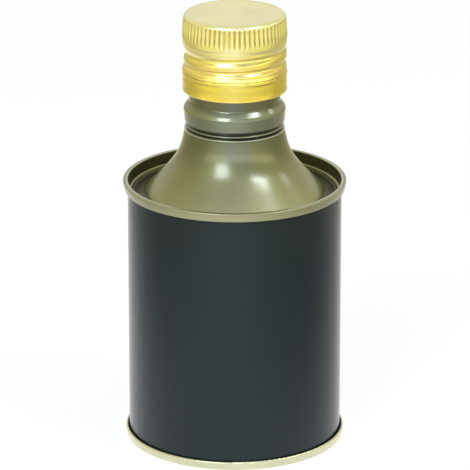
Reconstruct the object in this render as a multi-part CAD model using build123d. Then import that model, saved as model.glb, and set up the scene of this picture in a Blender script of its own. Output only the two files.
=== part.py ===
from build123d import *
import math
import os

# Round tinplate oil tin, 65 mm can size, with a cone top and an aluminium roll-on screw cap.
# Millimetres. The origin is the middle of the face the tin stands on, +Z runs up the axis
# and the front is on -Y, so the welded side seam is at the back, on +Y.
# Every wall of revolution is drawn as one outline of its printed face, given as radius,
# height and corner radius, with the metal on the left-hand side of the direction of travel.

# Plate
BODY_PLATE = 0.20
END_PLATE = 0.25
NECK_PLATE = 0.25
CAP_PLATE = 0.22

# Can body
BODY_RADIUS = 32.85
WELD_WIDTH = 0.9
WELD_RISE = 0.10
WELD_END_GAP = 0.25

# Double seams, the same folds at both ends of the body
SEAM_GAP = 0.12
FOLD_INNER_RADIUS = 0.20
SEAM_CORNER_RADIUS = 0.44
HOOK_END_GAP = 0.33
BOTTOM_SEAM_HEIGHT = 2.55
TOP_SEAM_HEIGHT = 2.75
TOP_SEAM_TOP = 82.90
TOP_SEAM_LEAN = 0.42
LEAN_BEND_RADIUS = 1.0
COMPOUND_GAP = 0.06

# Bottom end, pressed up inside the seam with one raised ring
BOTTOM_COUNTERSINK = 3.50
COUNTERSINK_RADIUS = 0.70
BOTTOM_CHANNEL_WIDTH = 2.6
BOTTOM_PANEL_HEIGHT = 2.50
BOTTOM_RING_HEIGHT = 3.00
BOTTOM_STEP_WIDTH = 1.0
BOTTOM_RING_INNER_RADIUS = 14.0
BOTTOM_RING_OUTER_RADIUS = 22.0
BOTTOM_BEND_RADIUS = 0.8

# Cone top
TROUGH_HEIGHT = 79.20
TROUGH_CORNER_RADIUS = 0.50
TROUGH_OUTER_INSET = 0.12
CONE_FOOT_RADIUS = 27.31
CONE_FOOT_BEND = 0.8
CONE_SHOULDER_RADIUS = 26.69
CONE_SHOULDER_HEIGHT = 80.33
CONE_SHOULDER_BEND = 4.0
CONE_KNEE_RADIUS = 17.02
CONE_KNEE_HEIGHT = 91.15
CONE_KNEE_BEND = 19.5
MOUTH_RADIUS = 15.36
MOUTH_HEIGHT = 99.67
MOUTH_CORNER_RADIUS = 0.36
MOUTH_CLEARANCE = 0.08

# Neck, clinched into the mouth of the cone
FLANGE_RADIUS = 15.05
FLANGE_DROP = 1.12
NECK_BEND = 0.30
WAIST_RADIUS = 14.20
CLINCH_FOOT_RISE = 0.20
CLINCH_RADIUS = 15.12
CLINCH_HEIGHT = 100.58
CLINCH_BEND = 0.30
GROOVE_RADIUS = 14.30
GROOVE_HEIGHT = 101.38
GROOVE_BEND = 0.15
BEAD_LOW_RADIUS = 15.36
BEAD_LOW_HEIGHT = 102.05
BEAD_LOW_BEND = 0.35
BEAD_RADIUS = 15.62
BEAD_HEIGHT = 105.90
BEAD_BEND = 0.35
BEAD_SHOULDER_RADIUS = 15.20
BEAD_SHOULDER_HEIGHT = 106.75
BEAD_SHOULDER_BEND = 1.2
THROAT_RADIUS = 14.00
THROAT_HEIGHT = 108.30
THROAT_BEND = 0.9
LOCK_FOOT_HEIGHT = 112.70
LOCK_RADIUS = 15.35
LOCK_HEIGHT = 113.55
LOCK_BEND = 0.30
THREAD_ROOT_RADIUS = 14.60
LOCK_TOP_HEIGHT = 115.40
LOCK_TOP_BEND = 0.5
NECK_SHOULDER_HEIGHT = 130.40
NECK_SHOULDER_BEND = 0.5
LIP_RADIUS = 13.20
LIP_FOOT_HEIGHT = 131.30
LIP_TOP = 133.00
LIP_CURL_RADIUS = 14.25
LIP_CURL_DROP = 0.95

# Right-hand screw thread, on the neck and rolled into the cap
PITCH = 3.70
THREAD_BEAD_RADIUS = 1.00
THREAD_CREST_RADIUS = 15.35
THREAD_LOW_HEIGHT = 119.20
THREAD_LENGTH = 7.40
THREAD_ZONE_MARGIN = 1.0
CAP_GROOVE_RADIUS = 1.25
CAP_GROOVE_BOTTOM = 15.12
CAP_GROOVE_FRONT_HEIGHT = 120.75
CAP_GROOVE_LOW_ANGLE = 160
CAP_GROOVE_HIGH_ANGLE = 700
FRONT_ANGLE = 270

# Cap
SLIT_HEIGHT = 117.75
SLIT_WIDTH = 0.25
CAP_EDGE_RADIUS = 15.97
CAP_EDGE_STRAIGHT = 0.12
CAP_FLARE_RISE = 0.38
CAP_WALL_RADIUS = 15.75
CAP_WALL_LOW_HEIGHT = 118.50
CAP_WALL_HIGH_HEIGHT = 126.40
CAP_BULGE_FOOT_RADIUS = 15.86
CAP_BULGE_FOOT_HEIGHT = 127.20
CAP_WALL_BEND = 2.0
KNURL_RADIUS = 15.97
KNURL_FOOT_HEIGHT = 129.30
KNURL_TOP_RADIUS = 15.76
KNURL_TOP_HEIGHT = 134.00
CAP_TOP = 135.60
CAP_CORNER_RADIUS = 1.30
KNURL_COUNT = 63
KNURL_GROOVE_WIDTH = 0.80
KNURL_DEPTH = 0.28

# Tamper band, tucked under the locking ring of the neck
BAND_BOTTOM = 111.75
BAND_RADIUS = 15.93
BAND_TUCK_RADIUS = 14.95
BAND_CORNER_RADIUS = 0.36
BAND_EDGE_HEIGHT = 1.20
BRIDGE_COUNT = 10
BRIDGE_WIDTH = 0.8
BRIDGE_FIRST_ANGLE = -22
BRIDGE_TOP_GAP = 0.02

# Plastic pourer, snapped into the neck from above
POURER_CLEARANCE = 0.05
POURER_FLANGE = 0.90
POURER_WALL = 1.00
POURER_SNAP_RISE = 0.55
POURER_SNAP_HEIGHT = 0.90
POURER_SNAP_GAP = 0.30
POURER_DEPTH = 9.5
POURER_FLOOR = 1.0
NOZZLE_BORE_RADIUS = 5.60
NOZZLE_WALL = 0.90
NOZZLE_LIP_REACH = 1.50
NOZZLE_LIP_THICKNESS = 0.45
NOZZLE_TOP_GAP = 0.35
VENT_BORE_RADIUS = 0.9
VENT_WALL = 0.6
VENT_HEIGHT = 6.0

# Soft parts
LINER_RADIUS = 14.60
LINER_CLEARANCE = 0.03
GASKET_CLEARANCE = 0.04

# Worked out from the sizes above
FULL_TURN = 360
CUT_OVERRUN = 1.0
BODY_HOOK_INNER = BODY_RADIUS + SEAM_GAP + END_PLATE + SEAM_GAP
END_HOOK_INNER = BODY_RADIUS + SEAM_GAP
SEAM_OUTER = BODY_HOOK_INNER + BODY_PLATE + SEAM_GAP + END_PLATE
CHUCK_RADIUS = BODY_RADIUS - BODY_PLATE - SEAM_GAP - END_PLATE
BODY_FOLD_DEPTH = END_PLATE + SEAM_GAP + BODY_PLATE
TOP_SEAM_FOOT = TOP_SEAM_TOP - TOP_SEAM_HEIGHT
CAP_FOOT = SLIT_HEIGHT + SLIT_WIDTH
POURER_RADIUS = LIP_RADIUS - NECK_PLATE - POURER_CLEARANCE
FLANGE_TOP = LIP_TOP + POURER_FLANGE
FLANGE_HEIGHT = MOUTH_HEIGHT - FLANGE_DROP
THREAD_BEAD_CENTRE = THREAD_CREST_RADIUS - THREAD_BEAD_RADIUS
THREAD_ZONE_LOW = LOCK_TOP_HEIGHT + THREAD_ZONE_MARGIN
THREAD_ZONE_HIGH = NECK_SHOULDER_HEIGHT - THREAD_ZONE_MARGIN
CAP_GROOVE_CENTRE = CAP_GROOVE_BOTTOM + CAP_GROOVE_RADIUS


def offset_left(points, distance):
    """Points and corner radii of an outline moved to its left by a distance."""
    ways = []
    for (r0, z0, _), (r1, z1, _) in zip(points, points[1:]):
        length = math.hypot(r1 - r0, z1 - z0)
        ways.append(((r1 - r0) / length, (z1 - z0) / length))
    moved = []
    for index, (r, z, corner) in enumerate(points):
        before = ways[max(index - 1, 0)]
        after = ways[min(index, len(ways) - 1)]
        across = (-before[1] - after[1], before[0] + after[0])
        share = distance / (1 + before[0] * after[0] + before[1] * after[1])
        left_turn = before[0] * after[1] - before[1] * after[0] > 0
        inner_corner = corner - distance if left_turn else corner + distance
        if corner == 0:
            inner_corner = 0
        moved.append((r + across[0] * share, z + across[1] * share, inner_corner))
    return moved


def section(points):
    """Closed face in the radius and height plane from points with corner radii."""
    outline = FilletPolyline(
        *[(r, z) for r, z, _ in points],
        radius=[max(corner, 0) for _, _, corner in points],
        close=True,
    )
    return Plane.XZ * make_face(outline)


def sheet(points, plate):
    """Thin wall of revolution: the outline and its copy one plate thickness to the left."""
    moved = offset_left(points, plate)
    ends = [(r, z, 0) for r, z, _ in (points[0], points[-1])]
    moved_ends = [(r, z, 0) for r, z, _ in (moved[0], moved[-1])]
    loop = [ends[0], *points[1:-1], ends[1], moved_ends[1], *moved[-2:0:-1], moved_ends[0]]
    return revolve(section(loop), Axis.Z)


def ring(inner_radius, outer_radius, low, high):
    """Plain ring of square section round the axis."""
    height = high - low
    whole = Pos(0, 0, low) * Cylinder(outer_radius, height, align=(Align.CENTER, Align.CENTER, Align.MIN))
    hole = Pos(0, 0, low - CUT_OVERRUN) * Cylinder(
        inner_radius, height + CUT_OVERRUN + CUT_OVERRUN, align=(Align.CENTER, Align.CENTER, Align.MIN)
    )
    return whole - hole


def solid_of(points):
    """Filled solid of revolution from radius, height and corner radius points."""
    return revolve(section(points), Axis.Z)


def screw_bar(centre_radius, low, start_angle, length, bar_radius):
    """Round bar wound as a right-hand helix, with a ball at each end."""
    path = Pos(0, 0, low) * Rot(0, 0, start_angle) * Helix(PITCH, length, centre_radius)
    start = path @ 0
    finish = path @ 1
    profile = Plane(origin=start, z_dir=path % 0) * Circle(bar_radius)
    bar = sweep(profile, path=path, is_frenet=True)
    return [bar, Pos(*start) * Sphere(bar_radius), Pos(*finish) * Sphere(bar_radius)]


def leaned(points):
    """Top seam points, each moved out in proportion to its height above the seam's foot."""
    return [
        (r + TOP_SEAM_LEAN * max(z - TOP_SEAM_FOOT, 0) / TOP_SEAM_HEIGHT, z, corner)
        for r, z, corner in points
    ]


def body_wall():
    """Rolled and welded cylinder with a hook turned out at each end."""
    fold_low = BODY_FOLD_DEPTH
    fold_high = TOP_SEAM_TOP - BODY_FOLD_DEPTH
    hook_low_tip = BOTTOM_SEAM_HEIGHT - END_PLATE - HOOK_END_GAP
    hook_high_tip = TOP_SEAM_FOOT + END_PLATE + HOOK_END_GAP
    bottom = [
        (BODY_HOOK_INNER, hook_low_tip, 0),
        (BODY_HOOK_INNER, fold_low, FOLD_INNER_RADIUS),
        (BODY_RADIUS, fold_low, FOLD_INNER_RADIUS),
    ]
    top = leaned([
        (BODY_RADIUS, TOP_SEAM_FOOT, LEAN_BEND_RADIUS),
        (BODY_RADIUS, fold_high, FOLD_INNER_RADIUS),
        (BODY_HOOK_INNER, fold_high, FOLD_INNER_RADIUS),
        (BODY_HOOK_INNER, hook_high_tip, 0),
    ])
    wall = sheet(bottom + top, BODY_PLATE)
    weld_low = BOTTOM_SEAM_HEIGHT + WELD_END_GAP
    weld_high = TOP_SEAM_FOOT - WELD_END_GAP
    weld = Pos(0, BODY_RADIUS + WELD_RISE, weld_low) * Box(
        WELD_WIDTH, WELD_RISE + BODY_PLATE / 2, weld_high - weld_low,
        align=(Align.CENTER, Align.MAX, Align.MIN),
    )
    return wall + weld


def bottom_end():
    """Pressed bottom with raised ring, countersink and the outer folds of the bottom seam."""
    hook_tip = BODY_FOLD_DEPTH + HOOK_END_GAP
    channel = CHUCK_RADIUS - BOTTOM_CHANNEL_WIDTH
    return sheet([
        (0, BOTTOM_PANEL_HEIGHT, 0),
        (BOTTOM_RING_INNER_RADIUS, BOTTOM_PANEL_HEIGHT, BOTTOM_BEND_RADIUS),
        (BOTTOM_RING_INNER_RADIUS + BOTTOM_STEP_WIDTH, BOTTOM_RING_HEIGHT, BOTTOM_BEND_RADIUS),
        (BOTTOM_RING_OUTER_RADIUS, BOTTOM_RING_HEIGHT, BOTTOM_BEND_RADIUS),
        (BOTTOM_RING_OUTER_RADIUS + BOTTOM_STEP_WIDTH, BOTTOM_PANEL_HEIGHT, BOTTOM_BEND_RADIUS),
        (channel - BOTTOM_STEP_WIDTH, BOTTOM_PANEL_HEIGHT, BOTTOM_BEND_RADIUS),
        (channel, BOTTOM_COUNTERSINK, BOTTOM_BEND_RADIUS),
        (CHUCK_RADIUS, BOTTOM_COUNTERSINK, COUNTERSINK_RADIUS),
        (CHUCK_RADIUS, 0, SEAM_CORNER_RADIUS),
        (SEAM_OUTER, 0, SEAM_CORNER_RADIUS),
        (SEAM_OUTER, BOTTOM_SEAM_HEIGHT, SEAM_CORNER_RADIUS),
        (END_HOOK_INNER, BOTTOM_SEAM_HEIGHT, SEAM_CORNER_RADIUS),
        (END_HOOK_INNER, hook_tip, 0),
    ], END_PLATE)


def dome_top():
    """Cone top: outer folds of the top seam, wall down to the trough, flank and turned mouth."""
    hook_tip = TOP_SEAM_TOP - BODY_FOLD_DEPTH - HOOK_END_GAP
    folds = leaned([
        (END_HOOK_INNER, hook_tip, 0),
        (END_HOOK_INNER, TOP_SEAM_FOOT, SEAM_CORNER_RADIUS),
        (SEAM_OUTER, TOP_SEAM_FOOT, SEAM_CORNER_RADIUS),
        (SEAM_OUTER, TOP_SEAM_TOP, SEAM_CORNER_RADIUS),
        (CHUCK_RADIUS, TOP_SEAM_TOP, SEAM_CORNER_RADIUS),
    ])
    cone = [
        (CHUCK_RADIUS - TROUGH_OUTER_INSET, TROUGH_HEIGHT, TROUGH_CORNER_RADIUS),
        (CONE_FOOT_RADIUS, TROUGH_HEIGHT, CONE_FOOT_BEND),
        (CONE_SHOULDER_RADIUS, CONE_SHOULDER_HEIGHT, CONE_SHOULDER_BEND),
        (CONE_KNEE_RADIUS, CONE_KNEE_HEIGHT, CONE_KNEE_BEND),
        (MOUTH_RADIUS, MOUTH_HEIGHT, MOUTH_CORNER_RADIUS),
        (WAIST_RADIUS + MOUTH_CLEARANCE, MOUTH_HEIGHT, 0),
    ]
    return sheet(folds + cone, END_PLATE)


def seam_compound(fold_height, tip_height):
    """Sealing compound in the pocket between the end hook's edge and the body's fold."""
    low, high = sorted((fold_height, tip_height))
    middle_lean = TOP_SEAM_LEAN * max(low - TOP_SEAM_FOOT, 0) / TOP_SEAM_HEIGHT
    inner = BODY_RADIUS + middle_lean + COMPOUND_GAP + COMPOUND_GAP
    outer = BODY_HOOK_INNER + middle_lean - COMPOUND_GAP
    return ring(inner, outer, low + COMPOUND_GAP, high - COMPOUND_GAP)


def bottom_seam_compound():
    """Compound ring of the bottom seam."""
    return seam_compound(BODY_FOLD_DEPTH, BODY_FOLD_DEPTH + HOOK_END_GAP)


def top_seam_compound():
    """Compound ring of the top seam."""
    fold = TOP_SEAM_TOP - BODY_FOLD_DEPTH
    return seam_compound(fold, fold - HOOK_END_GAP)


def threaded_core(radius, bar_radius, overrun):
    """Solid cylinder with the neck's screw bead standing out of it."""
    low = THREAD_ZONE_LOW - overrun
    core = Pos(0, 0, low) * Cylinder(
        radius, THREAD_ZONE_HIGH - THREAD_ZONE_LOW + overrun + overrun,
        align=(Align.CENTER, Align.CENTER, Align.MIN),
    )
    above_groove = THREAD_LOW_HEIGHT - CAP_GROOVE_FRONT_HEIGHT - PITCH / 2
    angle = FRONT_ANGLE + FULL_TURN * above_groove / PITCH
    for piece in screw_bar(THREAD_BEAD_CENTRE, THREAD_LOW_HEIGHT, angle, THREAD_LENGTH, bar_radius):
        core = core + piece
    return core


def neck_finish():
    """Drawn neck: flange and clinch ring round the mouth, bead, locking ring, thread and lip."""
    lower = sheet([
        (FLANGE_RADIUS, FLANGE_HEIGHT, 0),
        (WAIST_RADIUS, FLANGE_HEIGHT, NECK_BEND),
        (WAIST_RADIUS, MOUTH_HEIGHT + CLINCH_FOOT_RISE, NECK_BEND),
        (CLINCH_RADIUS, CLINCH_HEIGHT, CLINCH_BEND),
        (GROOVE_RADIUS, GROOVE_HEIGHT, GROOVE_BEND),
        (BEAD_LOW_RADIUS, BEAD_LOW_HEIGHT, BEAD_LOW_BEND),
        (BEAD_RADIUS, BEAD_HEIGHT, BEAD_BEND),
        (BEAD_SHOULDER_RADIUS, BEAD_SHOULDER_HEIGHT, BEAD_SHOULDER_BEND),
        (THROAT_RADIUS, THROAT_HEIGHT, THROAT_BEND),
        (THROAT_RADIUS, LOCK_FOOT_HEIGHT, NECK_BEND),
        (LOCK_RADIUS, LOCK_HEIGHT, LOCK_BEND),
        (THREAD_ROOT_RADIUS, LOCK_TOP_HEIGHT, LOCK_TOP_BEND),
        (THREAD_ROOT_RADIUS, THREAD_ZONE_LOW, 0),
    ], NECK_PLATE)
    upper = sheet([
        (THREAD_ROOT_RADIUS, THREAD_ZONE_HIGH, 0),
        (THREAD_ROOT_RADIUS, NECK_SHOULDER_HEIGHT, NECK_SHOULDER_BEND),
        (LIP_RADIUS, LIP_FOOT_HEIGHT, NECK_BEND),
        (LIP_RADIUS, LIP_TOP - NECK_PLATE, FOLD_INNER_RADIUS),
        (LIP_CURL_RADIUS - NECK_PLATE, LIP_TOP - NECK_PLATE, FOLD_INNER_RADIUS),
        (LIP_CURL_RADIUS - NECK_PLATE, LIP_TOP - LIP_CURL_DROP, 0),
    ], NECK_PLATE)
    threaded = threaded_core(THREAD_ROOT_RADIUS, THREAD_BEAD_RADIUS, 0) - threaded_core(
        THREAD_ROOT_RADIUS - NECK_PLATE, THREAD_BEAD_RADIUS - NECK_PLATE, CUT_OVERRUN
    )
    return lower + threaded + upper


def neck_joint_gasket():
    """Flat rubber ring squeezed between the neck's flange and the turned mouth of the cone."""
    low = FLANGE_HEIGHT + GASKET_CLEARANCE
    high = MOUTH_HEIGHT - END_PLATE - GASKET_CLEARANCE
    return ring(WAIST_RADIUS + NECK_BEND, MOUTH_RADIUS - MOUTH_CORNER_RADIUS, low, high)


def grooved_core(radius, bar_radius, overrun):
    """Solid cylinder with the cap's screw groove pressed into it."""
    height = CAP_WALL_HIGH_HEIGHT - CAP_WALL_LOW_HEIGHT + overrun + overrun
    core = Pos(0, 0, CAP_WALL_LOW_HEIGHT - overrun) * Cylinder(
        radius, height, align=(Align.CENTER, Align.CENTER, Align.MIN)
    )
    low = CAP_GROOVE_FRONT_HEIGHT + PITCH * (CAP_GROOVE_LOW_ANGLE - FRONT_ANGLE) / FULL_TURN
    length = PITCH * (CAP_GROOVE_HIGH_ANGLE - CAP_GROOVE_LOW_ANGLE) / FULL_TURN
    for piece in screw_bar(CAP_GROOVE_CENTRE, low, CAP_GROOVE_LOW_ANGLE, length, bar_radius):
        core = core - piece
    return core


def knurl_ring(radius, depth, groove_width, height):
    """Wire round the knurled zone: one arc for each crest and one for each valley."""
    step = FULL_TURN / KNURL_COUNT
    half_groove = math.degrees(groove_width / 2 / radius)
    edges = []
    for index in range(KNURL_COUNT):
        middle = FRONT_ANGLE + step * index
        places = [
            (radius, middle - half_groove), (radius - depth, middle), (radius, middle + half_groove),
            (radius, middle + step / 2), (radius, middle + step - half_groove),
        ]
        points = [
            (r * math.cos(math.radians(a)), r * math.sin(math.radians(a)), height) for r, a in places
        ]
        edges.append(ThreePointArc(*points[:3]))
        edges.append(ThreePointArc(*points[2:]))
    return Face(Wire(edges))


def knurled_zone():
    """Ribbed wall of the cap, narrowing a little to the top, closed by a ledge at each end."""
    outer = loft([
        knurl_ring(KNURL_RADIUS, KNURL_DEPTH, KNURL_GROOVE_WIDTH, KNURL_FOOT_HEIGHT),
        knurl_ring(KNURL_TOP_RADIUS, KNURL_DEPTH, KNURL_GROOVE_WIDTH, KNURL_TOP_HEIGHT),
    ], ruled=True)
    inner_width = KNURL_GROOVE_WIDTH + CAP_PLATE
    inner = loft([
        knurl_ring(KNURL_RADIUS - CAP_PLATE, KNURL_DEPTH, inner_width, KNURL_FOOT_HEIGHT),
        knurl_ring(KNURL_TOP_RADIUS - CAP_PLATE, KNURL_DEPTH, inner_width, KNURL_TOP_HEIGHT),
    ], ruled=True)
    reach = KNURL_DEPTH + CAP_PLATE
    low_ledge = ring(
        KNURL_RADIUS - reach, KNURL_RADIUS, KNURL_FOOT_HEIGHT - CAP_PLATE, KNURL_FOOT_HEIGHT
    )
    high_ledge = ring(
        KNURL_TOP_RADIUS - reach, KNURL_TOP_RADIUS, KNURL_TOP_HEIGHT, KNURL_TOP_HEIGHT + CAP_PLATE
    )
    return (outer - inner) + low_ledge + high_ledge


def cap_shell():
    """Deep-drawn aluminium cap with a knurled top and the rolled screw groove."""
    skirt = grooved_core(CAP_WALL_RADIUS, CAP_GROOVE_RADIUS, 0) - grooved_core(
        CAP_WALL_RADIUS - CAP_PLATE, CAP_GROOVE_RADIUS + CAP_PLATE, CUT_OVERRUN
    )
    flare_top = CAP_FOOT + CAP_EDGE_STRAIGHT + CAP_FLARE_RISE
    flare = sheet([
        (CAP_EDGE_RADIUS, CAP_FOOT, 0),
        (CAP_EDGE_RADIUS, CAP_FOOT + CAP_EDGE_STRAIGHT, 0),
        (CAP_WALL_RADIUS, flare_top - CAP_EDGE_STRAIGHT, 0),
        (CAP_WALL_RADIUS, CAP_WALL_LOW_HEIGHT, 0),
    ], CAP_PLATE)
    bulge = sheet([
        (CAP_WALL_RADIUS, CAP_WALL_HIGH_HEIGHT, 0),
        (CAP_WALL_RADIUS, CAP_WALL_HIGH_HEIGHT + CAP_EDGE_STRAIGHT, 0),
        (CAP_BULGE_FOOT_RADIUS, CAP_BULGE_FOOT_HEIGHT, CAP_WALL_BEND),
        (KNURL_RADIUS, KNURL_FOOT_HEIGHT - CAP_PLATE, 0),
        (KNURL_RADIUS, KNURL_FOOT_HEIGHT, 0),
    ], CAP_PLATE)
    top = sheet([
        (KNURL_TOP_RADIUS, KNURL_TOP_HEIGHT, 0),
        (KNURL_TOP_RADIUS, CAP_TOP, CAP_CORNER_RADIUS),
        (0, CAP_TOP, 0),
    ], CAP_PLATE)
    return flare + skirt + bulge + knurled_zone() + top


def cap_liner():
    """Soft sealing disc inside the cap, resting on the pourer's flange."""
    low = FLANGE_TOP + LINER_CLEARANCE
    high = CAP_TOP - CAP_PLATE - LINER_CLEARANCE
    return Pos(0, 0, low) * Cylinder(
        LINER_RADIUS, high - low, align=(Align.CENTER, Align.CENTER, Align.MIN)
    )


def tamper_band():
    """Ring left on the neck when the cap is first turned, with the stubs of its bridges."""
    band = sheet([
        (BAND_TUCK_RADIUS, BAND_BOTTOM, 0),
        (CAP_EDGE_RADIUS, BAND_BOTTOM, BAND_CORNER_RADIUS),
        (BAND_RADIUS, BAND_BOTTOM + BAND_EDGE_HEIGHT, CAP_WALL_BEND),
        (BAND_RADIUS, SLIT_HEIGHT - BAND_EDGE_HEIGHT, CAP_WALL_BEND),
        (CAP_EDGE_RADIUS, SLIT_HEIGHT, 0),
    ], CAP_PLATE)
    height = SLIT_WIDTH - BRIDGE_TOP_GAP
    wall = ring(
        CAP_EDGE_RADIUS - CAP_PLATE, CAP_EDGE_RADIUS,
        SLIT_HEIGHT - height, SLIT_HEIGHT + height,
    )
    for index in range(BRIDGE_COUNT):
        angle = FRONT_ANGLE + BRIDGE_FIRST_ANGLE + FULL_TURN * index / BRIDGE_COUNT
        block = Rot(0, 0, angle) * Pos(CAP_EDGE_RADIUS, 0, SLIT_HEIGHT) * Box(
            CAP_EDGE_RADIUS / 2, BRIDGE_WIDTH, SLIT_WIDTH * 4
        )
        band = band + (wall & block)
    return band


def pourer_insert():
    """Moulded pourer: flange, barrel with a snap ring, floor, nozzle and a small air tube."""
    floor_top = LIP_TOP - POURER_DEPTH
    barrel_inner = POURER_RADIUS - POURER_WALL
    barrel = ring(barrel_inner, POURER_RADIUS, floor_top - POURER_FLOOR, LIP_TOP)
    flange = ring(barrel_inner, LIP_CURL_RADIUS, LIP_TOP, FLANGE_TOP)
    floor = ring(NOZZLE_BORE_RADIUS, POURER_RADIUS, floor_top - POURER_FLOOR, floor_top)
    nozzle_top = FLANGE_TOP - NOZZLE_TOP_GAP
    nozzle_outer = NOZZLE_BORE_RADIUS + NOZZLE_WALL
    nozzle = ring(NOZZLE_BORE_RADIUS, nozzle_outer, floor_top, nozzle_top)
    lip = solid_of([
        (NOZZLE_BORE_RADIUS, nozzle_top, 0),
        (NOZZLE_BORE_RADIUS, nozzle_top - NOZZLE_LIP_REACH - NOZZLE_LIP_THICKNESS, 0),
        (nozzle_outer, nozzle_top - NOZZLE_LIP_REACH - NOZZLE_LIP_THICKNESS, 0),
        (nozzle_outer + NOZZLE_LIP_REACH, nozzle_top - NOZZLE_LIP_THICKNESS, 0),
        (nozzle_outer + NOZZLE_LIP_REACH, nozzle_top, 0),
    ])
    snap_top = NECK_SHOULDER_HEIGHT - NECK_PLATE - POURER_SNAP_GAP
    snap = solid_of([
        (barrel_inner, snap_top, 0),
        (barrel_inner, snap_top - POURER_SNAP_HEIGHT, 0),
        (POURER_RADIUS, snap_top - POURER_SNAP_HEIGHT, 0),
        (POURER_RADIUS + POURER_SNAP_RISE, snap_top - POURER_SNAP_HEIGHT / 2, 0),
        (POURER_RADIUS, snap_top, 0),
    ])
    vent_place = (nozzle_outer + barrel_inner) / 2
    vent_outer = VENT_BORE_RADIUS + VENT_WALL
    vent = Pos(0, vent_place, floor_top - POURER_FLOOR) * Cylinder(
        vent_outer, VENT_HEIGHT + POURER_FLOOR, align=(Align.CENTER, Align.CENTER, Align.MIN)
    )
    vent_bore = Pos(0, vent_place, floor_top - POURER_FLOOR - CUT_OVERRUN) * Cylinder(
        VENT_BORE_RADIUS, VENT_HEIGHT + POURER_FLOOR + CUT_OVERRUN + CUT_OVERRUN,
        align=(Align.CENTER, Align.CENTER, Align.MIN),
    )
    return barrel + flange + floor + nozzle + lip + snap + vent - vent_bore


PIECES = {
    "body_wall": body_wall,
    "bottom_end": bottom_end,
    "bottom_seam_compound": bottom_seam_compound,
    "dome_top": dome_top,
    "top_seam_compound": top_seam_compound,
    "neck_finish": neck_finish,
    "neck_joint_gasket": neck_joint_gasket,
    "pourer_insert": pourer_insert,
    "tamper_band": tamper_band,
    "cap_shell": cap_shell,
    "cap_liner": cap_liner,
}

os.makedirs("parts", exist_ok=True)
for name, make_piece in PIECES.items():
    piece = make_piece()
    piece.label = name
    export_step(piece, f"parts/{name}.step")
    print(name, "solids", len(piece.solids()), "volume", round(piece.volume, 1))
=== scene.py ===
"""Looks of the round oil tin: finer cone top, cap and band, materials, floor, light and camera.

The scene is in metres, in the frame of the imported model, with the front of the tin on -Y. Radii
and heights of the pressed pieces are in millimetres, and angles round them in degrees to the
right of the front.
"""

import math

import bmesh
import bpy
import numpy as np
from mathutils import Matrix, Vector


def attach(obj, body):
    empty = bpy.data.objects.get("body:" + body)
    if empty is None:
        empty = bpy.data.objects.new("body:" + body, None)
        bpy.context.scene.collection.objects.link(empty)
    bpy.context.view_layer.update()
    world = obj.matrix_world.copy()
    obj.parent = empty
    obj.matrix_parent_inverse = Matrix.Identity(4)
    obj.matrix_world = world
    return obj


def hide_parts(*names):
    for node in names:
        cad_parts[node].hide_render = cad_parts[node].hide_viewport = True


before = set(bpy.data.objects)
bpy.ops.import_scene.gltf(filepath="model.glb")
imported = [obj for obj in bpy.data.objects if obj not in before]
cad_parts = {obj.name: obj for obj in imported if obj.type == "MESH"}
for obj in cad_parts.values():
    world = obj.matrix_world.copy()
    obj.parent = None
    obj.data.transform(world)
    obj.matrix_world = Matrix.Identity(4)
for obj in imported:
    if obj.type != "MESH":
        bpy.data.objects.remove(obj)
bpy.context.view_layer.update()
scene = bpy.context.scene

MM = 0.001
FULL_TURN = 360
HALF_TURN = 180
WHITE = (1, 1, 1, 1)

# Camera, solved from the ellipses of the seams and rims
CAMERA_DISTANCE = 1.20508
CAMERA_HEIGHT = 0.48821
CAMERA_SIDE = 0.00012
CAMERA_PITCH = 0.3382
CAMERA_LENS = 317.45
SENSOR_WIDTH = 36.0
CLIP_START = 0.01
CLIP_END = 50.0

# Floor: its half size, its tone, and the light that lifts it to white where it is seen
FLOOR_HALF = 3.0
FLOOR_TONE = 0.35
FLOOR_LIFT = 0.84

# Floor as the tin mirrors it, in metres: a strip from front to back with a shaded zone on each
# side. The levels change from front to back over the stretches of Y called turns.
STRIP_FRONT = ((0.0, 1.22), (0.25, 1.22), (0.31, 0.96), (0.345, 1.0), (0.37, 1.25), (1.0, 1.25))
STRIP_BACK = 1.2
STRIP_TURN = (-0.05, 0.05)
STRIP_SHIFT = 0.025
STRIP_EDGE = (0.06, 0.20)
NEAR_SIDE_FRONT = 0.46
NEAR_SIDE_BACK = 0.68
NEAR_SIDE_TURN = (-0.03, 0.10)
FAR_SIDE_FRONT = 1.1
FAR_SIDE_BACK = 0.64
FAR_SIDE_TURN = (-0.2, 0.05)
FAR_EDGE = (0.23, 0.32)

# Air of the studio as the tin mirrors it: brightness by the sine of the elevation
FRONT_AIR = (
    (0.0, 0.5), (0.08, 0.6), (0.13, 2.8), (0.27, 2.8), (0.34, 0.8), (0.6, 0.6), (0.85, 0.8),
    (1.0, 0.9),
)
BACK_AIR = ((0.0, 0.6), (0.25, 0.9), (0.6, 0.8), (1.0, 0.9))
FRONT_AZIMUTH = 12
FRONT_EDGE = (0.1, 0.5)
SIDE_TINT = (1.0, 0.93, 0.50, 1)
SIDE_TINT_EDGE = (0.2, 0.8)

# Soft light of the air on matt surfaces
FILL_AIR = ((0.0, 0.08), (0.5, 0.12), (1.0, 0.4))
FILL_COLOUR = (0.95, 0.98, 1, 1)

# Lamps: name, azimuth, elevation, width, height, brightness of the face, colour
LAMP_RANGE = 1.1
LAMP_AIM_HEIGHT = 0.09
LAMPS = (
    ("lamp_left", -27, 35, 0.42, 0.48, 7.5, (0.86, 0.94, 1.0)),
    ("lamp_right", 56, 48.5, 0.44, 0.15, 14.0, (0.86, 0.93, 1.0)),
    ("lamp_side", 105, 32, 0.16, 0.10, 5.5, (0.95, 0.97, 1.0)),
)

# Meshes
WELD_DISTANCE = 1e-7
SHARP_ANGLE = 50

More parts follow.
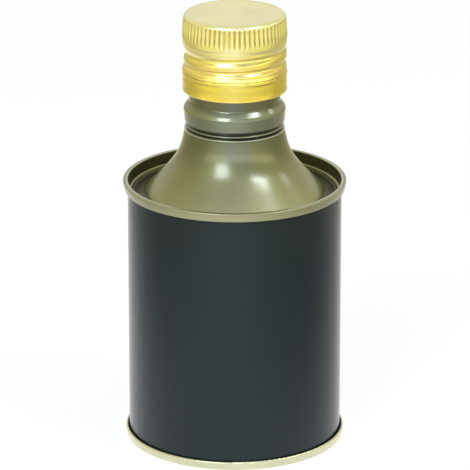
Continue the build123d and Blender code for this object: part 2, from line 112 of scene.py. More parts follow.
# Plate of the closure, and where the screw groove's rolling has made it thinner
PLATE = 0.22
ROLLED_PLATE = 0.14
ROLLED_FOOT = (118.6, 119.2)
ROLLED_HEAD = (127, 128)

# Cap: height and radius up its wall, corner, and the fine line round its disc
CAP_FOOT = 118.0
CAP_TOP = 135.6
CAP_CORNER = 1.3
CORNER_LOW = CAP_TOP - CAP_CORNER
CORNER_STEPS = 12
CAP_WALL = (
    (118.0, 15.97), (118.35, 15.95), (118.9, 15.80), (119.8, 15.74), (126.0, 15.72),
    (126.7, 15.80), (127.3, 15.90), (129.2, 15.99), (131.2, 15.88), (133.2, 15.76), (134.3, 15.62),
)
CAP_WALL_STEPS = 8
DISC_RADIUS = 13.75
DISC_RISE_WIDTH = 0.5
DISC_DROP = 0.12
DISC_STEP = 0.08
DISC_OUTER_MARGIN = 0.1
DISC_INNER_MARGIN = 0.2
LINING_RADIUS = 14.0
LINING_STEP = 0.4

# Ridge between the turns of the screw groove, a little off centre
RIDGE_RADIUS = 15.67
RIDGE_SWAY = 0.16
RIDGE_FOOT = (119.0, 119.6)
RIDGE_HEAD = (125.4, 126.2)

# Screw groove along its helix: angle, height, radius of its bottom, half widths below and above
GROOVE_STATIONS = (
    (-90, 120.23, 15.06, 1.0, 1.0),
    (0, 120.85, 15.02, 1.3, 0.95),
    (90, 121.50, 15.18, 2.2, 1.1),
    (270, 123.72, 14.90, 1.9, 1.9),
    (360, 124.50, 15.00, 1.9, 0.95),
    (450, 125.30, 15.43, 1.4, 1.4),
)
# At each end of the groove: the angle at which it is gone, and that at which it is full
GROOVE_FADES = ((-155, -125), (480, 420))

# Knurl: grooves, with places and widths in shares of a groove's pitch
RIB_COUNT = 63
RIB_PLACES = (0.0, 0.08, 0.17, 0.26, 0.35, 0.5, 0.65, 0.74, 0.83, 0.92)
RIB_GROOVE_HALF = 0.34
RIB_DEPTH = 0.38
RIB_LOW = 128.0
RIB_HIGH = 134.7
RIB_FOOT_FADE = 3.2
RIB_HEAD_FADE = 0.7
# Where the knurling rolls meet, the grooves are cut twice
MEETING_RIBS = (-2, -1)
MEETING_TURN = 0.30
MEETING_HALF = 0.16
MEETING_SHARE = 0.55

# Rings of the cap's wall: the height from which they are this far apart
CAP_STEPS = (
    (CAP_FOOT, 0.08), (119, 0.12), (127, 0.25), (RIB_LOW, 0.2), (RIB_LOW + RIB_FOOT_FADE, 0.4),
    (RIB_HIGH - RIB_HEAD_FADE, 0.1),
)

# Cone top: radius, height and bend of its printed face, first the folds of the seam before they
# lean, then the ledge, the trough, the flank and the mouth
TOP_PLATE = 0.25
TOP_COLUMNS = 240
BEND_STEPS = 10
SEAM_FOOT = 80.15
SEAM_HEIGHT = 2.75
SEAM_LEAN = 0.42
SEAM_FOLDS = (
    (32.97, 82.00, 0), (32.97, 80.15, 0.44), (33.91, 80.15, 0.44), (33.91, 82.90, 0.44),
    (32.28, 82.90, 0.44),
)
CONE_FLANK = (
    (32.16, 79.60, 0.10), (31.82, 79.52, 0.12), (31.10, 78.60, 0.80), (27.75, 79.15, 1.2),
    (21.87, 85.43, 60), (17.02, 91.15, 19.5), (15.33, 99.10, 0.6), (15.44, 99.67, 0.30),
    (14.28, 99.67, 0),
)

# Tamper band: radius and height up its wall, and the plate at its upper edge
BAND_COLUMNS = 720
BAND_WALL = (
    (14.95, 111.75), (15.40, 111.75), (15.78, 111.77), (15.93, 111.88), (15.99, 112.10),
    (15.96, 112.55), (15.90, 113.30), (15.91, 114.2), (15.95, 115.4), (15.92, 116.4),
    (15.95, 116.8), (15.98, 117.15), (15.95, 117.5), (15.87, 117.84),
)
BAND_WALL_STEPS = 5
BAND_EDGE_INSET = 0.01
BAND_EDGE_PLATE = 0.18
BAND_LINING_SKIP = 3
BAND_LIP_RADIUS = 15.5

# Fine ribs on one stretch of the band
FINE_RIB_FIRST = 10
FINE_RIB_LAST = 47
FINE_RIB_STEP = 3.16
FINE_RIB_HALF = 0.3
FINE_RIB_DEPTH = (0.07, 0.14)
FINE_RIB_LOW = 113.0
FINE_RIB_HIGH = 116.6
FINE_RIB_SIDE_FADE = 1
FINE_RIB_END_FADE = 0.3

# Stubs of the bridges between cap and band
BRIDGE_COUNT = 10
BRIDGE_FIRST = -22
BRIDGE_HALF = 1.4
BRIDGE_SIDE_FADE = 0.4
BRIDGE_RISE = 0.14
BRIDGE_BULGE = 0.16
BRIDGE_FOOT = 117.0

# Clouds in the lacquer's tone: noise per metre, shades, and the part of the noise that they use
CLOUD_SCALE = 60.0
CLOUD_DETAIL = 3.0
CLOUD_SHADES = (0.93, 1.05)
CLOUD_BAND = (0.3, 0.7)

# Rolling grain of the plate: noise per metre round and up the wall, and its heights in metres
GRAIN_ROUND = 40.0
GRAIN_UP = 4000.0
GRAIN_DETAIL = 4.0
GRAIN_ROUGHNESS = 0.03
GRAIN_BUMP = 0.02
GRAIN_HEIGHT = 0.00002

# Painted shade in narrow hollows: the light that reaches them, from fully hollow to open, and the
# gloss left there
HOLLOW_LIGHT = (0.35, 0.9)
HOLLOW_GLOSS = 0.3
HOLLOW_SAMPLES = 8

# Skin of plastic, rubber and foam
MOTTLE_SCALE = 300.0
SKIN_SCALE = 4000.0
SKIN_DETAIL = 2.0
SKIN_ROUGHNESS = 0.08
SKIN_BUMP = 0.15
SKIN_HEIGHT = 0.00005

# Lacquered metals. tones: colours by height, which on the dome, neck and cap also hold painted
# shade and painted highlights. rings: painted shade and painted highlights, as a share of the
# colour by radius. hollow: reach and colour of painted shade in narrow hollows. ribbed: painted
# shade in the knurl's grooves.
METALS = {
    "body_lacquer": {
        "tones_and_painted_light": ((0, (0.010, 0.025, 0.031)),),
        "rough": 0.24, "metallic": 0.0, "coat": 0.0, "coat_rough": 0.12,
        "anisotropic": 0.6, "turned": 0.25, "ior": 1.40,
    },
    "dome_lacquer": {
        # Painted light: the flank is lighter at its foot and darker up towards the mouth, by how
        # the light falls, and the pale rim of the mouth is a painted highlight.
        "tones_and_painted_light": (
            (79.5, (0.26, 0.267, 0.12)), (87.0, (0.185, 0.188, 0.078)),
            (92.0, (0.122, 0.134, 0.058)), (99.2, (0.070, 0.086, 0.037)),
            (99.5, (0.42, 0.46, 0.31)),
        ),
        "rough": 0.46, "metallic": 0.9, "coat": 1.0, "coat_rough": 0.23,
        "anisotropic": 0.3, "ior": 1.4, "coat_ior": 1.8,
        # Painted shade in the trough and on the seam's inner wall; painted highlights on the ledge,
        # the seam's top and its outer face.
        "rings": (
            (27.2, 1.0), (27.7, 0.38), (28.3, 0.29), (31.7, 0.30), (31.85, 1.8), (32.1, 1.8),
            (32.2, 0.31), (32.75, 0.31), (32.95, 2.0), (33.35, 2.0), (33.55, 0.95), (33.85, 0.95),
            (34.0, 1.35), (34.4, 1.25),
        ),
    },
    "neck_lacquer": {
        # Painted shade: dark bands under the mouth's rim, in the gap under the bead and on the
        # throat under the band.
        "tones_and_painted_light": (
            (99.6, (0.05, 0.055, 0.03)), (100.3, (0.05, 0.055, 0.03)), (100.5, (0.20, 0.23, 0.14)),
            (100.8, (0.20, 0.23, 0.14)), (101.1, (0.05, 0.055, 0.03)), (101.5, (0.06, 0.065, 0.04)),
            (101.9, (0.17, 0.195, 0.115)), (107.0, (0.17, 0.195, 0.115)),
            (108.2, (0.075, 0.09, 0.045)), (111.0, (0.075, 0.09, 0.045)),
            (112.5, (0.17, 0.195, 0.115)),
        ),
        "rough": 0.42, "metallic": 0.9, "coat": 1.0, "coat_rough": 0.18,
        "anisotropic": 0.3, "ior": 1.4, "coat_ior": 1.8,
        # Painted shade in the narrow hollows between rim, ring and bead.
        "hollow": (5.0, (0.12, 0.12, 0.10)),
    },
    "end_lacquer": {
        "tones_and_painted_light": ((0, (0.62, 0.625, 0.42)),),
        "rough": 0.30, "metallic": 0.9, "coat": 0.5, "coat_rough": 0.15,
        # Painted shade: a dark ring at the top corner of the bottom seam, where it meets the body.
        "rings": (
            (30.0, 1.0), (32.6, 1.0), (32.95, 0.12), (33.3, 0.12), (33.55, 1.0), (34.0, 1.0),
        ),
    },
    "cap_metal": {
        "tones_and_painted_light": (
            # Gold by height, paler on the band's lip and top, over the screw groove, the knurl and
            # the disc: partly the lacquer's own tone and partly a painted highlight for the white
            # sheen of the coat.
            (112.2, (0.88, 0.72, 0.22)), (113.0, (0.80, 0.665, 0.13)),
            (117.0, (0.80, 0.665, 0.135)), (117.6, (0.90, 0.74, 0.22)),
            (119.0, (0.90, 0.75, 0.28)), (124.0, (0.88, 0.75, 0.26)), (127.0, (0.86, 0.78, 0.34)),
            (130.0, (0.93, 0.90, 0.53)), (135.3, (0.93, 0.90, 0.53)), (135.45, (0.92, 0.84, 0.38)),
        ),
        "rough": 0.22, "metallic": 1.0, "coat": 0.5, "coat_rough": 0.25, "anisotropic": 0.5,
        # Painted shade in the cap's narrow hollows and in the knurl's grooves.
        "hollow": (0.8, (0.68, 0.57, 0.24)), "painted_groove_shade": (0.60, 0.53, 0.24),
    },
}
PLASTICS = {
    "sealing_compound": {"dark": (0.50, 0.47, 0.40), "light": (0.58, 0.55, 0.48), "rough": 0.6},
    "gasket_rubber": {"dark": (0.04, 0.04, 0.04), "light": (0.06, 0.06, 0.06), "rough": 0.6},
    "pourer_plastic": {"dark": (0.80, 0.80, 0.75), "light": (0.84, 0.84, 0.79), "rough": 0.35},
    "liner_foam": {"dark": (0.86, 0.86, 0.83), "light": (0.90, 0.90, 0.87), "rough": 0.7},
}
NODE_FINISHES = {
    "body_wall": "body_lacquer",
    "bottom_end": "end_lacquer",
    "bottom_seam_compound": "sealing_compound",
    "top_seam_compound": "sealing_compound",
    "neck_finish": "neck_lacquer",
    "neck_joint_gasket": "gasket_rubber",
    "pourer_insert": "pourer_plastic",
    "cap_liner": "liner_foam",
}


def direction(azimuth, elevation):
    """Unit vector; azimuth 0 is the camera's side and grows to the right, both in degrees."""
    a, e = math.radians(azimuth), math.radians(elevation)
    return Vector((math.sin(a) * math.cos(e), -math.cos(a) * math.cos(e), math.sin(e)))


def make_camera():
    """Camera at the photograph's place and angle."""
    data = bpy.data.cameras.new("camera")
    data.sensor_width = SENSOR_WIDTH
    data.lens = CAMERA_LENS
    data.clip_start = CLIP_START
    data.clip_end = CLIP_END
    camera = bpy.data.objects.new("camera", data)
    camera.location = (CAMERA_SIDE, -CAMERA_DISTANCE, CAMERA_HEIGHT)
    camera.rotation_euler = (math.pi / 2 - CAMERA_PITCH, 0, 0)
    scene.collection.objects.link(camera)
    scene.camera = camera


def soft_box(name, azimuth, elevation, width, height, radiance, colour):
    """Rectangular lamp that faces the tin from a direction, with a given brightness of its face."""
    data = bpy.data.lights.new(name, "AREA")
    data.shape = "RECTANGLE"
    data.size = width
    data.size_y = height
    data.energy = radiance * math.pi * width * height
    data.color = colour
    lamp = bpy.data.objects.new(name, data)
    way = direction(azimuth, elevation)
    lamp.location = way * LAMP_RANGE + Vector((0, 0, LAMP_AIM_HEIGHT))
    lamp.rotation_mode = "QUATERNION"
    lamp.rotation_quaternion = way.to_track_quat("Z", "Y")
    lamp.visible_camera = False
    scene.collection.objects.link(lamp)


class Tree:
    """A node tree with short calls for adding nodes."""

    def __init__(self, tree):
        self.tree = tree
        self.tree.nodes.clear()

    def add(self, kind, inputs=None, **settings):
        """New node; inputs maps a socket's name or place to a value or to another node's socket."""
        node = self.tree.nodes.new(kind)
        for key, value in settings.items():
            setattr(node, key, value)
        for key, value in (inputs or {}).items():
            if isinstance(value, bpy.types.NodeSocket):
                self.tree.links.new(value, node.inputs[key])
            else:
                node.inputs[key].default_value = value
        return node

    def out(self, kind, inputs=None, **settings):
        """First output of a new node."""
        return self.add(kind, inputs, **settings).outputs[0]

    def math(self, operation, first, second):
        """Result of an operation on two values."""
        return self.out("ShaderNodeMath", {0: first, 1: second}, operation=operation)

    def spread(self, source, low, high, from_low=0.0, from_high=1.0):
        """A value between two others as its source goes over a stretch."""
        return self.out("ShaderNodeMapRange", {
            "Value": source, "From Min": from_low, "From Max": from_high,
            "To Min": low, "To Max": high,
        })

    def ramp(self, source, stops):
        """Colour ramp with any number of places and colours."""
        node = self.add("ShaderNodeValToRGB", {0: source})
        elements = node.color_ramp.elements
        while len(elements) < len(stops):
            elements.new(1.0)
        for element, (place, colour) in zip(elements, stops):
            element.position = place
            element.color = (*colour, 1)
        return node.outputs["Color"]

    def level_ramp(self, source, levels):
        """Ramp of plain brightness; levels above 1 are reached by scaling."""
        top = max(level for _, level in levels)
        stops = [(place, (level / top, level / top, level / top)) for place, level in levels]
        return self.math("MULTIPLY", self.ramp(source, stops), top)

    def mix(self, factor, first, second, blend="MIX"):
        """Two colours mixed."""
        node = self.add(
            "ShaderNodeMix", {0: factor, 6: first, 7: second}, data_type="RGBA", blend_type=blend
        )
        return node.outputs[2]

    def tinted(self, colour, tint):
        """A colour multiplied by another."""
        return self.mix(1.0, colour, tint, "MULTIPLY")

    def shaded(self, colour, share):
        """A colour multiplied by a value."""
        grey = self.out("ShaderNodeCombineColor", {0: share, 1: share, 2: share})
        return self.tinted(colour, grey)


def new_material(name):
    """Empty node material and its tree."""
    material = bpy.data.materials.new(name)
    material.use_nodes = True
    return material, Tree(material.node_tree)


def object_axes(t):
    """Object coordinates as x, y and z."""
    place = t.add("ShaderNodeTexCoord")
    return t.add("ShaderNodeSeparateXYZ", {0: place.outputs["Object"]}).outputs


def axis_distance(t):
    """Distance from the tin's axis."""
    axes = object_axes(t)
    x_squared = t.math("MULTIPLY", axes["X"], axes["X"])
    y_squared = t.math("MULTIPLY", axes["Y"], axes["Y"])
    return t.math("POWER", t.math("ADD", x_squared, y_squared), 0.5)


def ray_kinds(t):
    """1 where a ray shows the surface itself, and 1 where it mirrors it."""
    path = t.add("ShaderNodeLightPath").outputs
    seen = t.math("MAXIMUM", path["Is Camera Ray"], path["Is Transmission Ray"])
    return seen, path["Is Glossy Ray"]


def make_world():
    """Studio air: white where it is seen, a bank of light low in front, and a soft ceiling."""
    world = bpy.data.worlds.new("studio")
    world.use_nodes = True
    scene.world = world
    t = Tree(world.node_tree)
    seen, mirrored = ray_kinds(t)
    way = t.add("ShaderNodeTexCoord")
    axes = t.add("ShaderNodeSeparateXYZ", {0: way.outputs["Generated"]}).outputs
    front = t.level_ramp(axes["Z"], FRONT_AIR)
    back = t.level_ramp(axes["Z"], BACK_AIR)
    fill = t.level_ramp(axes["Z"], FILL_AIR)
    toward = direction(FRONT_AZIMUTH, 0)
    x_share = t.math("MULTIPLY", axes["X"], toward.x)
    y_share = t.math("MULTIPLY", axes["Y"], toward.y)
    air = t.spread(t.math("ADD", x_share, y_share), back, front, *FRONT_EDGE)
    aside = t.spread(t.math("ABSOLUTE", axes["X"], 0.0), 0.0, 1.0, *SIDE_TINT_EDGE)
    tint = t.mix(aside, WHITE, SIDE_TINT)
    filling = t.out("ShaderNodeBackground", {"Color": FILL_COLOUR, "Strength": fill})
    mirror = t.out("ShaderNodeBackground", {"Color": tint, "Strength": air})
    white = t.out("ShaderNodeBackground", {"Color": WHITE, "Strength": 1.0})
    lighting = t.out("ShaderNodeMixShader", {0: mirrored, 1: filling, 2: mirror})
    whole = t.out("ShaderNodeMixShader", {0: seen, 1: lighting, 2: white})
    t.add("ShaderNodeOutputWorld", {"Surface": whole})


def floor_mirror(t):
    """Floor as the tin mirrors it."""
    axes = object_axes(t)
    distance = axis_distance(t)
    strip_front = t.level_ramp(distance, STRIP_FRONT)
    strip = t.spread(axes["Y"], strip_front, STRIP_BACK, *STRIP_TURN)
    near = t.spread(axes["Y"], NEAR_SIDE_FRONT, NEAR_SIDE_BACK, *NEAR_SIDE_TURN)
    far = t.spread(axes["Y"], FAR_SIDE_FRONT, FAR_SIDE_BACK, *FAR_SIDE_TURN)
    side = t.spread(distance, near, far, *FAR_EDGE)
    across = t.math("ABSOLUTE", t.math("ADD", axes["X"], STRIP_SHIFT), 0.0)
    aside = t.spread(across, 0.0, 1.0, *STRIP_EDGE)
    distant = t.spread(distance, 0.0, 1.0, *FAR_EDGE)
    tint = t.mix(t.math("MULTIPLY", aside, distant), WHITE, SIDE_TINT)
    level = t.spread(aside, strip, side)
    return t.out("ShaderNodeEmission", {"Color": tint, "Strength": level})


def make_floor():
    """Pale floor that is lifted to white where it is seen, and keeps the tin's shadow."""
    mesh = bpy.data.meshes.new("floor")
    h = FLOOR_HALF
    mesh.from_pydata([(-h, -h, 0), (h, -h, 0), (h, h, 0), (-h, h, 0)], [], [(0, 1, 2, 3)])
    floor = bpy.data.objects.new("floor", mesh)
    scene.collection.objects.link(floor)
    material, t = new_material("floor")
    seen, mirrored = ray_kinds(t)
    tone = (FLOOR_TONE, FLOOR_TONE, FLOOR_TONE, 1)
    matt = t.out("ShaderNodeBsdfDiffuse", {"Color": tone})
    strength = t.math("MULTIPLY", seen, FLOOR_LIFT)
    lift = t.out("ShaderNodeEmission", {"Color": WHITE, "Strength": strength})
    lifted = t.out("ShaderNodeAddShader", {0: matt, 1: lift})
    mixed = t.out("ShaderNodeMixShader", {0: mirrored, 1: lifted, 2: floor_mirror(t)})
    t.add("ShaderNodeOutputMaterial", {"Surface": mixed})
    mesh.materials.append(material)


def smooth(value, low, high):
    """0 at low, 1 at high and an even curve between them."""
    share = np.clip((value - low) / (high - low), 0, 1)
    return share * share * (3 - 2 * share)


def rounded(distance, half):
    """Round-bottomed groove: 1 in its middle and 0 at its half width and beyond."""
    return np.cos(np.clip(np.abs(distance) / half, 0, 1) * math.pi / 2) ** 2


def curve(points, steps):
    """Points along a smooth curve through an outline's points."""
    p = np.array(points, float)
    p = np.vstack([2 * p[0] - p[1], p, 2 * p[-1] - p[-2]])
    s = np.linspace(0, 1, steps, endpoint=False)[:, None]
    runs = []
    for a, b, c, d in zip(p, p[1:], p[2:], p[3:]):
        slope = (c - a) / 2
        bend = a - 2.5 * b + 2 * c - d / 2
        twist = 1.5 * (b - c) + (d - a) / 2
        runs.append(b + s * slope + s ** 2 * bend + s ** 3 * twist)
    return np.vstack(runs + [p[-2:-1]])


def ring_points(angle, radius, height):
    """Points of one ring in metres, from angles, radii and heights."""
    a = np.radians(angle)
    radius = np.broadcast_to(radius, angle.shape)
    height = np.broadcast_to(height, angle.shape)
    return np.stack([radius * np.sin(a), -radius * np.cos(a), height], 1) * MM


def lathe_mesh(name, rings, joined):
    """Closed mesh over rings of points; unless joined, the end rings shrink to a point each."""
    count = len(rings[0])
    step = np.arange(count)
    after = (step + 1) % count
    faces = []
    for index in range(len(rings) if joined else len(rings) - 1):
        low = index * count
        high = (index + 1) % len(rings) * count
        faces.append(np.stack([low + step, low + after, high + after, high + step], 1))
    mesh = bpy.data.meshes.new(name)
    mesh.from_pydata(np.vstack(rings).tolist(), [], np.vstack(faces).tolist())
    shape = bmesh.new()
    shape.from_mesh(mesh)
    bmesh.ops.remove_doubles(shape, verts=shape.verts, dist=WELD_DISTANCE)
    bmesh.ops.recalc_face_normals(shape, faces=shape.faces)
    shape.to_mesh(mesh)
    shape.free()
    mesh.shade_smooth()
    mesh.set_sharp_from_angle(angle=math.radians(SHARP_ANGLE))
    return mesh


def bent_path(points):
    """Outline through points of radius, height and bend, its corners turned into arcs."""
    path = [np.array(points[0][:2], float)]
    for before, corner, after in zip(points, points[1:], points[2:]):
        middle = np.array(corner[:2], float)
        back = np.array(before[:2]) - middle
        ahead = np.array(after[:2]) - middle
        back = back / np.linalg.norm(back)
        ahead = ahead / np.linalg.norm(ahead)
        half = math.acos(np.clip(back @ ahead, -1, 1)) / 2
        run = corner[2] / math.tan(half)
        for share in np.linspace(0, 1, BEND_STEPS + 1):
            start = middle + back * run * (1 - share)
            end = middle + ahead * run * share
            path.append(start + (end - start) * share)
    path.append(np.array(points[-1][:2], float))
    return np.array(path)


def plate_loop(path, plate):
    """Closed outline of a plate whose printed face is the path, with its metal on the left."""
    ahead = np.gradient(path, axis=0)
    ahead = ahead / np.linalg.norm(ahead, axis=1)[:, None]
    left = np.stack([-ahead[:, 1], ahead[:, 0]], 1)
    return np.vstack([path, (path + left * plate)[::-1]])


def leaning(radius, height):
    """Radius of a point of the seam after the seam has leaned outwards."""
    return radius + SEAM_LEAN * max(height - SEAM_FOOT, 0) / SEAM_HEIGHT


def seamed_top():
    """Cone top with its folded seam, a thin ledge, a trough and a hollow flank."""
    folds = [(leaning(radius, height), height, bend) for radius, height, bend in SEAM_FOLDS]
    loop = plate_loop(bent_path(folds + list(CONE_FLANK)), TOP_PLATE)
    angle = np.arange(TOP_COLUMNS) * FULL_TURN / TOP_COLUMNS
    rings = [ring_points(angle, radius, height) for radius, height in loop]
    return lathe_mesh("seamed_top", rings, True)


def cap_angles():
    """Angles round the cap, closer together in the knurl's grooves."""
    ribs = np.arange(RIB_COUNT)[:, None] + np.array(RIB_PLACES)[None, :]
    return (ribs.ravel() * FULL_TURN / RIB_COUNT + HALF_TURN) % FULL_TURN - HALF_TURN


def cap_heights():
    """Heights of the rings of the cap's wall."""
    ends = [height for height, _ in CAP_STEPS[1:]] + [CORNER_LOW]
    zones = [np.arange(low, end, step) for (low, step), end in zip(CAP_STEPS, ends)]
    return np.concatenate(zones)


def screw_depth(angle, height, wall):
    """How deep the rolled screw groove lies under the wall."""
    stations = np.array(GROOVE_STATIONS, float).T
    deepest = np.zeros(np.broadcast(angle, height).shape)
    for along in (angle, angle + FULL_TURN):
        middle, bottom, below, above = (np.interp(along, stations[0], row) for row in stations[1:])
        share = rounded(height - middle, np.where(height < middle, below, above))
        for gone, full in GROOVE_FADES:
            share = share * smooth(along, gone, full)
        deepest = np.maximum(deepest, (wall - bottom) * share)
    return deepest


def knurl_depth(angle, height):
    """How deep the knurl's grooves lie under its crests."""
    place = angle * RIB_COUNT / FULL_TURN
    nearest = np.round(place)
    away = np.abs(place - nearest)
    single = rounded(away, RIB_GROOVE_HALF)
    double = rounded(away - MEETING_TURN, MEETING_HALF) * MEETING_SHARE
    share = np.where(np.isin(nearest, MEETING_RIBS), double, single)
    foot = np.clip((height - RIB_LOW) / RIB_FOOT_FADE, 0, 1)
    return RIB_DEPTH * share * foot * smooth(height, RIB_HIGH, RIB_HIGH - RIB_HEAD_FADE)


def cap_radius(angle, height):
    """Radius of the cap's printed face up to the foot of its corner."""
    outline = curve(CAP_WALL, CAP_WALL_STEPS)
    wall = np.interp(height, outline[:, 0], outline[:, 1]) + 0 * angle
    screwed = smooth(height, *RIDGE_FOOT) * (1 - smooth(height, *RIDGE_HEAD))
    ridge = RIDGE_RADIUS + RIDGE_SWAY * np.sin(np.radians(angle))
    wall = wall + (ridge - wall) * screwed
    return wall - screw_depth(angle, height, wall) - knurl_depth(angle, height)


def cap_lining(angle):
    """Rings of the cap's inner face, from the middle of its top down to its foot."""
    ceiling = CAP_TOP - PLATE
    rings = [ring_points(angle, 0.0, ceiling), ring_points(angle, LINING_RADIUS, ceiling)]
    for height in np.arange(CORNER_LOW - PLATE, CAP_FOOT, -LINING_STEP):
        rolled = smooth(height, *ROLLED_FOOT) * (1 - smooth(height, *ROLLED_HEAD))
        plate = PLATE + (ROLLED_PLATE - PLATE) * rolled
        rings.append(ring_points(angle, cap_radius(angle, height) - plate, height))
    rings.append(ring_points(angle, cap_radius(angle, CAP_FOOT) - PLATE, CAP_FOOT))
    return rings


def cap_corner(angle):
    """Rings round the cap's corner, in which the knurl runs out."""
    crest = cap_radius(angle, CORNER_LOW) + knurl_depth(angle, CORNER_LOW)
    rings = []
    for turn in np.linspace(0, math.pi / 2, CORNER_STEPS):
        height = CORNER_LOW + CAP_CORNER * math.sin(turn)
        inset = CAP_CORNER * (1 - math.cos(turn)) + knurl_depth(angle, height)
        rings.append(ring_points(angle, crest - inset, height))
    return rings


def cap_disc(angle):
    """Rings of the cap's disc, from its corner over the fine line to its middle."""
    outermost = cap_radius(angle, CORNER_LOW).max() - CAP_CORNER - DISC_OUTER_MARGIN
    rings = []
    for radius in np.arange(outermost, DISC_RADIUS - DISC_INNER_MARGIN, -DISC_STEP):
        sunk = 1 - smooth(radius, DISC_RADIUS, DISC_RADIUS + DISC_RISE_WIDTH)
        rings.append(ring_points(angle, radius, CAP_TOP - DISC_DROP * float(sunk)))
    rings.append(ring_points(angle, DISC_RADIUS / 2, CAP_TOP - DISC_DROP))
    rings.append(ring_points(angle, 0.0, CAP_TOP - DISC_DROP))
    return rings


def rolled_cap():
    """Cap with rolled screw groove, knurl, rounded corner and a fine line round its disc."""
    angle = cap_angles()
    wall = [ring_points(angle, cap_radius(angle, height), height) for height in cap_heights()]
    rings = cap_lining(angle) + wall + cap_corner(angle) + cap_disc(angle)
    return lathe_mesh("rolled_cap", rings, False)


def band_offset(angle, height):
    """Depth of the fine upright ribs on one stretch of the band."""
    place = (angle - FINE_RIB_FIRST) / FINE_RIB_STEP
    share = rounded(place - np.round(place), FINE_RIB_HALF)
    first = smooth(angle, FINE_RIB_FIRST - FINE_RIB_SIDE_FADE, FINE_RIB_FIRST)
    last = smooth(angle, FINE_RIB_LAST + FINE_RIB_SIDE_FADE, FINE_RIB_LAST)
    foot = smooth(height, FINE_RIB_LOW, FINE_RIB_LOW + FINE_RIB_END_FADE)
    head = smooth(height, FINE_RIB_HIGH, FINE_RIB_HIGH - FINE_RIB_END_FADE)
    depth = np.interp(angle, (FINE_RIB_FIRST, FINE_RIB_LAST), FINE_RIB_DEPTH)
    return depth * share * first * last * foot * head


def bridge_share(angle):
    """1 on the stub of a bridge and 0 between the stubs."""
    step = FULL_TURN / BRIDGE_COUNT
    place = (angle - BRIDGE_FIRST) / step
    away = np.abs(place - np.round(place)) * step
    return 1 - smooth(away, BRIDGE_HALF - BRIDGE_SIDE_FADE, BRIDGE_HALF)


def rolled_band():
    """Tamper band with a rolled lip, a bulge under the slit, fine ribs and stubs of its bridges."""
    angle = np.arange(BAND_COLUMNS) * FULL_TURN / BAND_COLUMNS - HALF_TURN
    outline = curve(BAND_WALL, BAND_WALL_STEPS)
    lip_radius, foot = BAND_WALL[0]
    edge_radius, top = BAND_WALL[-1]
    bridges = bridge_share(angle)
    stub_top = top + bridges * BRIDGE_RISE
    rings = []
    for radius, height in outline:
        bulge = bridges * BRIDGE_BULGE * smooth(height, BRIDGE_FOOT, top)
        rings.append(ring_points(angle, radius - band_offset(angle, height) + bulge, height))
    edge = edge_radius - BAND_EDGE_INSET + bridges * BRIDGE_BULGE
    rings.append(ring_points(angle, edge, stub_top))
    rings.append(ring_points(angle, edge_radius - BAND_EDGE_PLATE, stub_top))
    for radius, height in outline[::-BAND_LINING_SKIP]:
        if radius > BAND_LIP_RADIUS:
            rings.append(ring_points(angle, radius - PLATE, max(height, foot + PLATE)))
    rings.append(ring_points(angle, lip_radius, foot + PLATE))
    return lathe_mesh("rolled_band", rings, True)


def add_piece(name, mesh, material, body, node):
    """Put a mesh in the scene as the detailed form of a CAD node."""
    piece = bpy.data.objects.new(name, mesh)
    mesh.materials.append(material)
    scene.collection.objects.link(piece)
    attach(piece, body)
    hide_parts(node)


def noise(t, around, upward, detail):
    """Noise with its own fineness round the wall and up it."""
    place = t.add("ShaderNodeTexCoord")
    scale = (around, around, upward)
    scaled = t.out("ShaderNodeMapping", {"Vector": place.outputs["Object"], "Scale": scale})
    texture = t.add("ShaderNodeTexNoise", {"Vector": scaled, "Scale": 1.0, "Detail": detail})
    return texture.outputs["Fac"]


def knurl_shade(t):
    """1 in the middle of the knurl's grooves, 0 on its crests and away from the knurl."""
    axes = object_axes(t)
    turn = t.math("ARCTAN2", axes["X"], t.math("MULTIPLY", axes["Y"], -1.0))
    away = t.math("PINGPONG", t.math("MULTIPLY", turn, RIB_COUNT / math.tau), 0.5)
    groove = t.spread(away, 1.0, 0.0, 0.0, RIB_GROOVE_HALF)
    foot_end = RIB_LOW + RIB_FOOT_FADE / 2
    foot = t.spread(axes["Z"], 0.0, 1.0, RIB_LOW * MM, foot_end * MM)
    head = t.spread(axes["Z"], 1.0, 0.0, (RIB_HIGH - RIB_HEAD_FADE) * MM, RIB_HIGH * MM)
    return t.math("MULTIPLY", groove, t.math("MULTIPLY", foot, head))


def height_tone_and_painted_light(t, tones_and_painted_light):
    """Colour by height, or the only colour; on the dome, neck and cap it holds painted shade and
    painted highlights too.
    """
    low, high = tones_and_painted_light[0][0], tones_and_painted_light[-1][0]
    if low == high:
        return (*tones_and_painted_light[0][1], 1)
    height = t.spread(object_axes(t)["Z"], 0.0, 1.0, low * MM, high * MM)
    return t.ramp(height, [((z - low) / (high - low), colour) for z, colour in tones_and_painted_light])


def painted_ring_light(t, rings):
    """Painted shade and painted highlights: a share that scales the colour, by the distance from
    the axis.
    """
    inner, outer = rings[0][0], rings[-1][0]
    place = t.spread(axis_distance(t), 0.0, 1.0, inner * MM, outer * MM)
    return t.level_ramp(place, [((r - inner) / (outer - inner), share) for r, share in rings])


def openness(t, reach):
    """1 on open surfaces and 0 deep in hollows that are narrower than the reach."""
    light = t.add(
        "ShaderNodeAmbientOcclusion", {"Distance": reach * MM}, samples=HOLLOW_SAMPLES,
        only_local=True,
    )
    return t.spread(light.outputs["AO"], 0.0, 1.0, *HOLLOW_LIGHT)


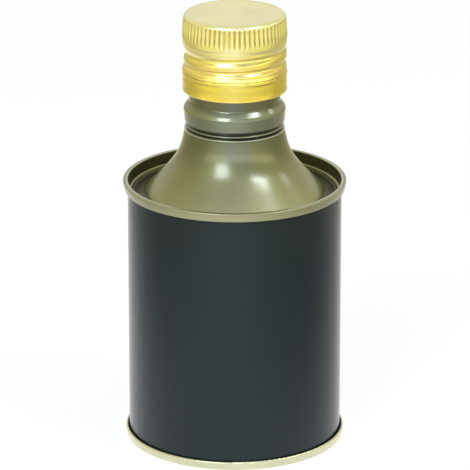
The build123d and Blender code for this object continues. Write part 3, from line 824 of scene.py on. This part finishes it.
def sheet_metal(name, tones_and_painted_light, rough, metallic, coat, coat_rough, anisotropic=0.0, turned=0.0,
                ior=1.5, coat_ior=1.5, rings=None, hollow=None, painted_groove_shade=None):
    """Lacquered plate: clouds in its tone, painted shade and painted highlights where they are
    given, rolling grain in gloss and surface, and a clear coat.
    """
    material, t = new_material(name)
    cloud = noise(t, CLOUD_SCALE, CLOUD_SCALE, CLOUD_DETAIL)
    colour = t.shaded(height_tone_and_painted_light(t, tones_and_painted_light), t.spread(cloud, *CLOUD_SHADES, *CLOUD_BAND))
    # Painted shade and painted highlights by radius; the gloss drops where the colour is shaded.
    if rings:
        painted_ring_share = painted_ring_light(t, rings)
        colour = t.shaded(colour, painted_ring_share)
        coat = t.math("MULTIPLY", t.math("POWER", t.math("MINIMUM", painted_ring_share, 1.0), 2.0), coat)
    # Painted shade in narrow hollows, from ambient occlusion, with less gloss there.
    if hollow:
        reach, hollow_shade_colour = hollow
        opened = openness(t, reach)
        colour = t.tinted(colour, t.mix(opened, (*hollow_shade_colour, 1), WHITE))
        coat = t.math("MULTIPLY", t.spread(opened, HOLLOW_GLOSS, 1.0), coat)
    # Painted shade in the knurl's grooves.
    if painted_groove_shade:
        colour = t.tinted(colour, t.mix(knurl_shade(t), WHITE, (*painted_groove_shade, 1)))
    grain = noise(t, GRAIN_ROUND, GRAIN_UP, GRAIN_DETAIL)
    raised = {"Height": grain, "Strength": GRAIN_BUMP, "Distance": GRAIN_HEIGHT}
    shader = t.out("ShaderNodeBsdfPrincipled", {
        "Base Color": colour, "Metallic": metallic, "IOR": ior,
        "Roughness": t.spread(grain, rough - GRAIN_ROUGHNESS, rough + GRAIN_ROUGHNESS),
        "Anisotropic": anisotropic, "Anisotropic Rotation": turned,
        "Coat Weight": coat, "Coat Roughness": coat_rough, "Coat IOR": coat_ior,
        "Normal": t.out("ShaderNodeBump", raised),
        "Tangent": t.out("ShaderNodeTangent", direction_type="RADIAL", axis="Z"),
    })
    t.add("ShaderNodeOutputMaterial", {"Surface": shader})
    return material


def plain_plastic(name, dark, light, rough):
    """Soft plastic, rubber or foam: mottled colour and a fine uneven skin."""
    material, t = new_material(name)
    mottle = noise(t, MOTTLE_SCALE, MOTTLE_SCALE, CLOUD_DETAIL)
    skin = noise(t, SKIN_SCALE, SKIN_SCALE, SKIN_DETAIL)
    raised = {"Height": skin, "Strength": SKIN_BUMP, "Distance": SKIN_HEIGHT}
    shader = t.out("ShaderNodeBsdfPrincipled", {
        "Base Color": t.ramp(mottle, list(zip(CLOUD_BAND, (dark, light)))),
        "Roughness": t.spread(skin, rough - SKIN_ROUGHNESS, rough + SKIN_ROUGHNESS),
        "Normal": t.out("ShaderNodeBump", raised),
    })
    t.add("ShaderNodeOutputMaterial", {"Surface": shader})
    return material


def dress(node, material):
    """Give a CAD node its material."""
    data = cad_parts[node].data
    data.materials.clear()
    data.materials.append(material)


make_camera()
make_world()
make_floor()
for lamp in LAMPS:
    soft_box(*lamp)

finishes = {name: sheet_metal(name, **look) for name, look in METALS.items()}
for name, look in PLASTICS.items():
    finishes[name] = plain_plastic(name, **look)
for node, finish in NODE_FINISHES.items():
    dress(node, finishes[finish])

dome_lacquer = finishes["dome_lacquer"]
cap_metal = finishes["cap_metal"]
add_piece("seamed_top", seamed_top(), dome_lacquer, "tin", "dome_top")
add_piece("rolled_cap", rolled_cap(), cap_metal, "cap", "cap_shell")
add_piece("rolled_band", rolled_band(), cap_metal, "band", "tamper_band")

scene.view_settings.view_transform = "Standard"
